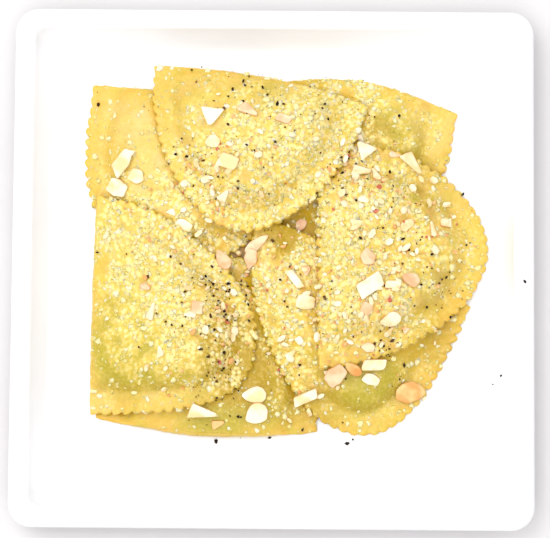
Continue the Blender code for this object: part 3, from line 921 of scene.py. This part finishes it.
# broken almond on the cheese, by ravioli: place as shares of its box, long, wide, turn, kind
CHIPS = (
    ("ravioli_7_back_top", (
        (0.29, 0.51, 5.7, 5.3, 70, "cream"), (0.34, 0.2, 6.9, 4.6, 80, "cream"),
        (0.61, 0.64, 6.5, 3.4, 10, "pink"), (0.16, 0.28, 3.4, 3.2, 0, "cream"),
        (0.1, 0.12, 4.4, 2.6, 20, "cream"),
    )),
    ("ravioli_5_left", (
        (0.55, 0.86, 6.9, 4.6, -15, "cream"), (0.6, 0.44, 5.3, 3.8, 75, "cream"),
        (0.64, 0.47, 5.7, 4.6, -40, "pink"), (0.86, 0.37, 4.2, 3.8, 0, "cream"),
        (0.43, 0.27, 5.7, 2.7, -75, "cream"), (0.33, 0.57, 4.4, 2.4, 70, "pink"),
    )),
    ("ravioli_6_right", (
        (0.34, 0.85, 6.9, 3.5, -60, "cream"), (0.44, 0.36, 6.9, 3.4, 30, "cream"),
        (0.3, 0.1, 5.7, 4.2, -35, "pink"), (0.23, 0.62, 5.7, 4.2, 80, "cream"),
        (0.52, 0.63, 6.1, 3.8, -45, "cream"), (0.67, 0.62, 6.1, 2.7, -10, "cream"),
        (0.75, 0.65, 6.2, 3.5, 75, "cream"), (0.52, 0.53, 5.4, 2.3, 80, "cream"),
        (0.44, 0.94, 7.2, 3.0, -25, "pink"), (0.27, 0.73, 4.6, 2.4, 15, "cream"),
        (0.46, 0.43, 4.0, 3.6, 30, "cream"), (0.29, 0.26, 5.0, 4.4, 60, "pink"),
    )),
    ("ravioli_4_front_right", (
        (0.23, 0.95, 6.2, 4.3, 80, "pink"), (0.26, 0.74, 5.0, 3.4, 20, "pink"),
        (0.55, 0.25, 6.9, 4.6, -50, "cream"), (0.19, 0.36, 5.4, 3.5, -45, "cream"),
        (0.23, 0.42, 3.6, 3.0, 10, "cream"), (0.82, 0.48, 3.6, 2.8, 40, "pink"),
        (0.7, 0.47, 3.4, 2.6, 0, "pink"),
    )),
    ("ravioli_5_left", ((0.33, 0.61, 2.6, 1.8, 30, "tan"),)),
    ("ravioli_1_front_left", ((0.55, 0.07, 5.4, 4.0, 20, "tan"),)),
    ("ravioli_5_left", (
        (0.62, 0.36, 2.8, 1.6, -60, "tan"), (0.84, 0.24, 3.2, 2.0, 0, "tan"),
    )),
)


# painted shade, tinted golden like pooled butter, falls where other pieces stand within this reach
# of a place
SIDE_REACH = 13 * MM
SIDE_RAYS = 8
COVER_REACH = 0.05  # metres above a place in which another piece covers it
SIDE_RAY_RISE = 32  # degrees above level
PEBBLE_RISE = 0.34 * MM
# pieces per square metre; mm of gap, smallest, largest and lift off the dough; tumble in radians
TOPPINGS = {
    "cheese_dust": (9.0e5, 0.8, 0.8, 2.0, -0.28, 0.6),
    "cheese_grains": (3.0e5, 1.35, 1.2, 2.7, -0.35, 0.5),
    "toasted_crumbs": (0.7e5, 0.8, 0.6, 1.9, 0.4, 0.8),
    "pepper_specks": (2.6e5, 0.55, 0.3, 1.4, 0.6, 1.2),
    "almond_bits": (4.0e4, 2.0, 1.7, 4.2, 0.6, 0.4),
}


def spot(name, share_x, share_y):
    """A place on a ravioli as shares of its box."""
    low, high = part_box(name)
    return low[0] + (high[0] - low[0]) * share_x, low[1] + (high[1] - low[1]) * share_y


def amount_at(heaps, points):
    """How much of a topping lies at each point."""
    total = np.zeros(len(points))
    for name, rows in heaps:
        for share_x, share_y, spread, strength in rows:
            x, y = spot(name, share_x, share_y)
            gap = (points[:, 0] - x) ** 2 + (points[:, 1] - y) ** 2
            total += strength * np.exp(-0.5 * gap / (spread * MM) ** 2)
    return total


def pile_tree(pieces):
    """One search tree over all the pieces."""
    points = []
    faces = []
    for obj in pieces:
        start = len(points)
        points += mesh_points(obj.data).tolist()
        faces += [[start + v for v in face.vertices] for face in obj.data.polygons]
    return BVHTree.FromPolygons(points, faces)


def mark_tops(pieces, tree):
    """Store on each ravioli what is covered, how hemmed in each place is for the painted shade,
    and where toppings lie.
    """
    low = math.radians(SIDE_RAY_RISE)
    around = [
        Vector((math.cos(a) * math.cos(low), math.sin(a) * math.cos(low), math.sin(low)))
        for a in (2 * math.pi * k / SIDE_RAYS for k in range(SIDE_RAYS))
    ]
    for obj in pieces:
        mesh = obj.data
        name = obj.name.replace("fine_", "")
        co = mesh_points(mesh)
        upper = stored(mesh, "upper")
        near_edge = stored(mesh, "edge")
        hidden = np.ones(len(co))
        enclosed_shade = np.ones(len(co))
        patchy = np.zeros(len(co))
        pebble = np.zeros(len(co))
        for i in np.flatnonzero(upper > 0.5):
            place = Vector(co[i]) + UP * 0.5 * MM
            if tree.ray_cast(place, UP, COVER_REACH)[0]:
                continue
            hidden[i] = 0
            # share of side rays that meet other pieces: how enclosed the place is, for the painted
            # shade
            hits = sum(tree.ray_cast(place, way, SIDE_REACH)[0] is not None for way in around)
            enclosed_shade[i] = hits / SIDE_RAYS
            patchy[i] = noise.noise(place * 170)
            pebble[i] = noise.voronoi(place * 560)[0][0]
        showing = np.clip(amount_at(SHOWING, co), 0, 1) * (1 - hidden)
        cheese = np.minimum(amount_at(CHEESE, co), 1)
        cheese += SPRINKLED[name] * (0.45 + 0.55 * np.clip(near_edge / 0.7, 0, 1))
        cheese = np.maximum(cheese, 0)
        cheese *= np.clip(0.85 + 1.1 * patchy, 0.2, 1.3) * (1 - 0.5 * showing)
        cheese = np.clip(cheese * np.clip(1.1 - 1.3 * enclosed_shade, 0.08, 1), 0.02, 1) * (1 - hidden)
        pebble = np.clip(1 - (pebble / 0.62) ** 2, 0, 1) * (1 - hidden)
        melted = np.clip(cheese * 1.5 - 0.12, 0, 1)
        off_rim = np.clip(near_edge / 0.12, 0, 1)
        co[:, 2] += pebble * np.maximum(melted, 0.3) * off_rim * PEBBLE_RISE
        pebble *= melted * off_rim
        co[:, 2] = np.minimum(co[:, 2], CAD_BOX[1][2] - DOUGH_GAP)
        place_points(mesh, co)
        mesh.update()
        pepper = np.clip(amount_at(PEPPER, co) * 0.9 + 0.015, 0, 1) * (1 - hidden)
        crumbs = np.clip(amount_at(CRUMBS, co), 0, 1) * (1 - hidden)
        values = {
            "hidden": hidden,
            "enclosed_shade": enclosed_shade * (1 - hidden),
            "cheese": cheese,
            "coarse": np.clip(cheese * 0.8 + 0.1 * (1 - showing), 0, 1) * (1 - hidden),
            "pebble": pebble,
            "pepper": pepper,
            "crumbs": crumbs,
            "showing": showing,
            "butter_and_shade": np.clip(amount_at(BUTTER_AND_SHADE, co), 0, 1),
        }
        for label, amounts in values.items():
            store(mesh, label, amounts)


def open_ground(pieces):
    """The upward faces of all ravioli that nothing covers."""
    bm = bmesh.new()
    for obj in pieces:
        bm.from_mesh(obj.data)
    layer = bm.verts.layers.float["hidden"]
    gone = [f for f in bm.faces if max(v[layer] for v in f.verts) > 0.5]
    bmesh.ops.delete(bm, geom=gone, context="FACES")
    return as_mesh(bm, "open_ground")


def lying_chip(name, row, seed, tree):
    """One broken chip, tipped to lie on whatever is under it."""
    share_x, share_y, long, wide, turn, _ = row
    x, y = spot(name, share_x, share_y)
    heights = []
    for dx, dy in ((1, 0), (-1, 0), (0, 1), (0, -1)):
        at = Vector((x + dx * 1.8 * MM, y + dy * 1.8 * MM, OVERHEAD))
        hit = tree.ray_cast(at, -UP)[0]
        heights.append(hit.z if hit else 0.005)
    rise = Vector((heights[1] - heights[0], heights[3] - heights[2], 3.6 * MM)).normalized()
    z = sum(heights) / 4 + 0.55 * MM
    place = (
        Matrix.Translation((x, y, z))
        @ rise.to_track_quat("Z", "Y").to_matrix().to_4x4()
        @ Matrix.Rotation(math.radians(turn), 4, "Z")
    )
    outline = ("slab", "kite", "triangle", "block", "wedge")[seed % 5]
    return slice_mesh(outline, long * MM, wide * MM, 0.9 * MM, place, seed)


def butter_shade_mesh():
    """Melted butter that has run together on the plate in the gap between the ravioli, dark so
    that it also paints the gap's shade.
    """
    x, y = spot("ravioli_5_left", 0.9, 0.77)
    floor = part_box("ravioli_5_left")[0][2] - 0.35 * MM
    count = 48
    points = []
    rows = ((1.0, 0.0), (0.98, 0.5), (0.9, 1.0), (0.6, 1.25), (0.25, 1.3))
    for share, height in rows:
        for k in range(count):
            turn = 2 * math.pi * k / count
            way = Vector((math.cos(turn), math.sin(turn), 0))
            reach = (10.5 + 3.5 * noise.noise(way * 1.3)) * share * MM
            points.append(Vector((x, y, floor + height * MM)) + way * reach)
    return capped_mesh("butter_pool", points, len(rows))


def stray_mesh(dish, husks):
    """The few specks of pepper that fell on the bare plate."""
    tree = BVHTree.FromPolygons(
        mesh_points(dish).tolist(), [list(face.vertices) for face in dish.polygons]
    )
    low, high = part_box("plate")
    meshes = []
    for k, (share_x, share_y, size) in enumerate(STRAYS):
        x = low[0] + (high[0] - low[0]) * share_x
        y = low[1] + (high[1] - low[1]) * share_y
        floor = tree.ray_cast(Vector((x, y, OVERHEAD)), -UP)[0].z
        mesh = husks[k % len(husks)].copy()
        turn = Matrix.Rotation(k * 1.7, 4, "Z") @ Matrix.Scale(size * MM, 4)
        mesh.transform(Matrix.Translation((x, y, floor + 0.3 * size * MM)) @ turn)
        store(mesh, "tone", np.full(len(mesh.vertices), 0.3))
        meshes.append(mesh)
    return joined("stray_pepper", meshes)


# ---------------------------------------------------------------- materials


def egg_dough():
    """Boiled egg pasta: wet and slightly see-through, green where the filling shows, with painted
    shade in darker golden where other pieces hem it in, and creamy under melted cheese."""
    mat, tree, place = new_material("boiled_egg_pasta")
    edge = attribute(tree, "edge")
    fill = attribute(tree, "fill")
    enclosed_shade = attribute(tree, "enclosed_shade")
    pebble = attribute(tree, "pebble")
    cheese = attribute(tree, "cheese")
    broad = noise_at(tree, place, 24, 3)
    medium = noise_at(tree, place, 6, 4, 0.6)
    fine = noise_at(tree, place, 1.3, 3, 0.6)
    dough = mixed(tree, remap(tree, broad, 0.36, 0.64), linear("#D5B76E"), linear("#CEAB4E"))
    rim = remap(tree, edge, 0.8, 0.25)
    dough = mixed(tree, product(tree, rim, 0.55), dough, linear("#D7AC3B"))
    lemon = remap(tree, noise_at(tree, place, 9, 3), 0.44, 0.64, 0, 0.6)
    dough = mixed(tree, lemon, dough, linear("#C2AD3F"))
    showing = attribute(tree, "showing")
    cloudy = math_node(tree, "ADD", showing, product(tree, medium, 0.5))
    patch = remap(tree, cloudy, 0.3, 1.0)
    green = product(tree, remap(tree, fill, 0.02, 0.5, 0.45, 1.0), patch)
    dough = mixed(tree, green, dough, linear("#A89928"))
    # painted shade: darker olive ring at the foot of the filled bulge, where the dough creases
    painted_crease_shade = product(tree, remap(tree, fill, 0.0, 0.16), remap(tree, fill, 0.5, 0.2))
    painted_crease_shade = product(tree, painted_crease_shade, remap(tree, showing, 0.2, 0.7, 0.2, 0.8))
    dough = mixed(tree, painted_crease_shade, dough, linear("#9C8814"))
    orange = remap(tree, medium, 0.6, 0.76, 0, 0.4)
    dough = mixed(tree, orange, dough, linear("#D99038"))
    browned = product(tree, attribute(tree, "crumbs"), remap(tree, medium, 0.4, 0.65))
    dough = mixed(tree, product(tree, browned, 0.75), dough, linear("#D89C61"))
    dough = mixed(tree, remap(tree, cheese, 0.1, 0.6, 0, 0.75), dough, linear("#D6BA4C"))
    # butter soak and painted shade: darker golden at the listed places
    soaked_and_shaded = remap(tree, attribute(tree, "butter_and_shade"), 0.0, 0.7, 0.0, 1.0)
    dough = mixed(tree, soaked_and_shaded, dough, linear("#A68810"))
    # painted shade: darker golden where other pieces hem the dough in
    dough = mixed(tree, remap(tree, enclosed_shade, 0.12, 0.65, 0, 0.92), dough, linear("#BF9C0A"))
    thin = remap(tree, cheese, 0.0, 0.6, 0.3, 1.0)
    melted = product(tree, remap(tree, fine, 0.44, 0.64), thin)
    melted = product(tree, melted, remap(tree, enclosed_shade, 0.55, 0.2))
    dough = mixed(tree, product(tree, melted, 0.5), dough, linear("#E6CC7A"))
    dough = mixed(tree, remap(tree, pebble, 0.05, 0.6, 0, 0.85), dough, linear("#E9D390"))
    height = math_node(tree, "ADD", product(tree, medium, 0.6), fine)
    relief = bumped(tree, height, 0.65, 0.35)
    shine = remap(tree, medium, 0.35, 0.65, 0.34, 0.55)
    finish_material(
        tree,
        {
            "Base Color": dough,
            "Roughness": shine,
            "IOR": 1.37,
            "Subsurface Weight": 0.45,
            "Subsurface Radius": (1.0, 0.6, 0.15),
            "Subsurface Scale": 1.8 * MM,
            "Coat Weight": 0.06,
            "Coat Roughness": 0.15,
            "Normal": relief,
        },
    )
    return mat


def hard_cheese(name, tones, sheen):
    """Grated hard cheese: crumbly cream grains, or yellower where the hot butter melted them."""
    mat, tree, place = new_material(name)
    tone = attribute(tree, "tone")
    speck = noise_at(tree, place, 0.8, 2)
    buttery, plain, pale = (linear(colour) for colour in tones)
    colour = mixed(tree, remap(tree, tone, 0.0, 0.55), buttery, plain)
    colour = mixed(tree, remap(tree, tone, 0.7, 1.0), colour, pale)
    colour = mixed(tree, remap(tree, speck, 0.45, 0.75, 0, 0.35), colour, pale)
    relief = bumped(tree, speck, 0.25, 0.15)
    finish_material(
        tree,
        {
            "Base Color": colour,
            "Roughness": sheen,
            "IOR": 1.38,
            "Subsurface Weight": 0.8,
            "Subsurface Radius": (1.0, 0.8, 0.35),
            "Subsurface Scale": 2.2 * MM,
            "Normal": relief,
        },
    )
    return mat


def cracked_pepper():
    """Coarsely ground black pepper: dark brown husk with paler broken sides."""
    mat, tree, place = new_material("ground_black_pepper")
    tone = attribute(tree, "tone")
    husk = noise_at(tree, place, 0.5, 2)
    colour = mixed(tree, remap(tree, tone, 0.5, 1.0), linear("#1C1007"), linear("#5E3A18"))
    colour = mixed(tree, remap(tree, husk, 0.5, 0.75, 0, 0.4), colour, linear("#7A5630"))
    finish_material(tree, {"Base Color": colour, "Roughness": 0.9, "IOR": 1.35})
    return mat


def almond(name, light, dark, red_share=0.0):
    """Toasted almond flesh: faint grain along the flake, darker where the toasting caught it.
    Some crumbs of dried red pepper lie among the toasted ones."""
    mat, tree, place = new_material(name)
    broad = noise_at(tree, place, 6, 2)
    grain = noise_at(tree, place, 0.9, 4, 0.6)
    colour = mixed(tree, remap(tree, broad, 0.38, 0.66), linear(light), linear(dark))
    colour = mixed(tree, remap(tree, grain, 0.5, 0.8, 0, 0.3), colour, linear(dark))
    browned = remap(tree, broad, 0.35, 0.55, 0, 0.6)
    skin = product(tree, attribute(tree, "rind"), browned)
    colour = mixed(tree, skin, colour, linear("#C98A52"))
    if red_share:
        red = remap(tree, attribute(tree, "tone"), 1 - red_share, 1.01 - red_share, 0, 0.85)
        colour = mixed(tree, red, colour, linear("#B24A3A"))
    relief = bumped(tree, grain, 0.3, 0.15)
    finish_material(
        tree,
        {
            "Base Color": colour,
            "Roughness": 0.5,
            "IOR": 1.46,
            "Subsurface Weight": 0.2,
            "Subsurface Radius": (1.0, 0.6, 0.35),
            "Subsurface Scale": 0.8 * MM,
            "Normal": relief,
        },
    )
    return mat


def butter_and_gap_shade():
    """Melted butter: clear liquid with a soft wet shine, coloured dark golden so that it also
    paints the shade of the gap.
    """
    mat, tree, place = new_material("butter_and_gap_shade")
    cloud = noise_at(tree, place, 5, 3)
    # painted shade: the butter is coloured darker than the dough to stand in for the gap's shadow
    colour = mixed(tree, remap(tree, cloud, 0.35, 0.65), linear("#A87C14"), linear("#86640F"))
    finish_material(
        tree,
        {
            "Base Color": colour,
            "Roughness": 0.15,
            "IOR": 1.46,
            "Subsurface Weight": 0.3,
            "Subsurface Radius": (1.0, 0.5, 0.1),
            "Subsurface Scale": 2 * MM,
        },
    )
    return mat


def porcelain():
    """White glazed porcelain: clear glossy glaze over a bright body."""
    mat, tree, place = new_material("white_glazed_porcelain")
    wave = noise_at(tree, place, 30, 2)
    relief = bumped(tree, wave, 0.04, 0.3)
    tint = mixed(tree, remap(tree, wave, 0.3, 0.7), linear("#E6E7EA"), linear("#E9EAED"))
    finish_material(
        tree,
        {
            "Base Color": tint,
            "Roughness": 0.3,
            "IOR": 1.5,
            "Coat Weight": 0.5,
            "Coat Roughness": 0.05,
            "Normal": relief,
        },
    )
    return mat


def paper_floor():
    """Matt pale studio paper."""
    mat, tree, place = new_material("pale_studio_paper")
    soft = noise_at(tree, place, 40, 2)
    tint = mixed(tree, remap(tree, soft, 0.3, 0.7), linear("#CDCBCC"), linear("#CFCDCE"))
    finish_material(tree, {"Base Color": tint, "Roughness": 0.9})
    return mat


# ---------------------------------------------------------------- the object


def make_object():
    """All pieces of the served plate."""
    dough = egg_dough()
    cheese = hard_cheese("grated_hard_cheese", ("#D9C072", "#E4D29B", "#ECDDBC"), 0.6)
    melting = hard_cheese("melting_cheese", ("#D1B654", "#DBC47A", "#E4D3A0"), 0.5)
    pepper = cracked_pepper()
    skins = {
        "almond_cream": almond("almond_flesh", "#F0E2C4", "#E3C690"),
        "almond_pink": almond("almond_blush", "#EBC7A2", "#E0A87C"),
        "almond_tan": almond("almond_toasted", "#E4B474", "#D2924A"),
    }
    toasted = almond("almond_crumbs", "#E2B97C", "#D6955C", red_share=0.12)
    dish = add_piece("glazed_plate", plate_mesh(), porcelain())
    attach(dish, "root")
    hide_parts("plate")

    pieces = []
    for seed, name in enumerate(RAVIOLI):
        obj = add_piece("fine_" + name, ravioli_mesh(name, seed + 1), dough)
        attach(obj, "root")
        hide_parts(name)
        pieces.append(obj)

    tree = pile_tree(pieces)
    mark_tops(pieces, tree)
    pool = add_piece("butter_pool", butter_shade_mesh(), butter_and_gap_shade())
    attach(pool, "root")
    slots = {s["node"]: s["material_slot"] for s in frame["record"]["subparts"]}
    chips = [(name, row) for name, rows in CHIPS for row in rows]
    for slot, mat in skins.items():
        names = [n for n in ALMONDS if slots[n] == slot]
        shapes = [almond_mesh(n, ALMONDS.index(n)) for n in names]
        obj = add_piece("flakes_" + slot, joined("flakes_" + slot, shapes), mat)
        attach(obj, "root")
        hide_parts(*names)
        shapes = [
            lying_chip(name, row, k + 3, tree)
            for k, (name, row) in enumerate(chips)
            if "almond_" + row[-1] == slot
        ]
        obj = add_piece("chips_" + slot, joined("chips_" + slot, shapes), mat)
        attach(obj, "root")

    ground = open_ground(pieces)
    strew_tree = scatter_tree()
    grains = [crumb_shape("grain_%d" % k, 1, 0.75, 0.9, k) for k in range(4)]
    lumps = [crumb_shape("lump_%d" % k, 2, 0.7, 0.9, k + 7) for k in range(4)]
    husks = [crumb_shape("husk_%d" % k, 1, 0.7, 1.4, k + 15) for k in range(3)]
    splinters = [chip_shape("splinter_%d" % k, 5, 1.3 + 0.4 * k, 0.35, k + 8) for k in range(4)]
    flat_bits = [chip_shape("chip_%d" % k, 6, 1.4 + 0.3 * k, 0.3, k + 3) for k in range(4)]
    # name, shapes, material, slot, the stored amount that it follows
    strewn = (
        ("cheese_dust", grains, melting, "pasta", "cheese"),
        ("cheese_grains", lumps, cheese, "pasta", "coarse"),
        ("toasted_crumbs", grains, toasted, "almond_tan", "crumbs"),
        ("pepper_specks", husks + splinters, pepper, "almond_tan", "pepper"),
        ("almond_bits", flat_bits, skins["almond_cream"], "almond_cream", "crumbs"),
    )
    for seed, (name, shapes, mat, slot, amount) in enumerate(strewn):
        count, gap, small, large, lift, tumble = TOPPINGS[name]
        values = {
            "Amount": amount,
            "Per Square Metre": count,
            "Spacing": gap * MM,
            "Smallest": small * MM,
            "Largest": large * MM,
            "Lift": lift * MM,
            "Tumble": tumble,
            "Seed": 7 * seed + 3,
        }
        mesh = strew(name, strew_tree, ground, shapes, mat, values)
        obj = add_piece(name, mesh, mat, smooth=name.startswith("cheese"))
        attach(obj, "root")
    strays = add_piece("stray_pepper", stray_mesh(dish.data, husks), pepper)
    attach(strays, "root")


# ---------------------------------------------------------------- stage


CAMERA_TILT = 7.0  # degrees from straight down, towards the front
CAMERA_ROLL = 0.46
CAMERA_FAR = 1.2
LAMPS = (  # name, place in metres, size, watts
    ("window", (-0.6, 0.4, 1.2), 1.0, 6.5),
    ("overhead", (-0.15, 0.0, 1.6), 1.4, 4.7),
    ("front_fill", (-0.1, -0.55, 1.25), 0.9, 3.5),
)


def make_stage():
    """Camera, pale floor and soft light, most of it from the back left."""
    scene = bpy.context.scene
    scene.view_settings.view_transform = "Standard"
    camera = bpy.data.objects.new("camera", bpy.data.cameras.new("camera"))
    scene.collection.objects.link(camera)
    tilt = math.radians(CAMERA_TILT)
    target = Vector((0, 0, 0.016))
    camera.location = target + CAMERA_FAR * Vector((0, -math.sin(tilt), math.cos(tilt)))
    camera.rotation_euler = (tilt, 0, math.radians(CAMERA_ROLL))
    camera.data.lens = 205.8
    camera.data.sensor_width = 36
    camera.data.shift_x = 0.0091
    camera.data.shift_y = -0.005
    camera.data.clip_start = 0.05
    scene.camera = camera

    bm = bmesh.new()
    bmesh.ops.create_grid(bm, x_segments=8, y_segments=8, size=1.6)
    mesh = as_mesh(bm, "floor")
    floor = bpy.data.objects.new("floor", mesh)
    mesh.materials.append(paper_floor())
    scene.collection.objects.link(floor)

    world = bpy.data.worlds.new("studio")
    scene.world = world
    world.use_nodes = True
    sky = world.node_tree.nodes["Background"]
    way = node(world.node_tree, "ShaderNodeTexCoord").outputs["Generated"]
    height = node(world.node_tree, "ShaderNodeSeparateXYZ", {"Vector": way}).outputs["Z"]
    lit = remap(world.node_tree, height, 0.05, 0.8, 0.42, 1.36)
    world.node_tree.links.new(lit, sky.inputs["Strength"])
    sky.inputs["Color"].default_value = (1.0, 0.99, 0.985, 1.0)
    for name, place, size, power in LAMPS:
        lamp = bpy.data.objects.new(name, bpy.data.lights.new(name, "AREA"))
        lamp.data.shape = "DISK"
        lamp.data.size = size
        lamp.data.energy = power
        lamp.location = place
        lamp.rotation_euler = (-Vector(place)).to_track_quat("-Z", "Y").to_euler()
        scene.collection.objects.link(lamp)


make_object()
make_stage()
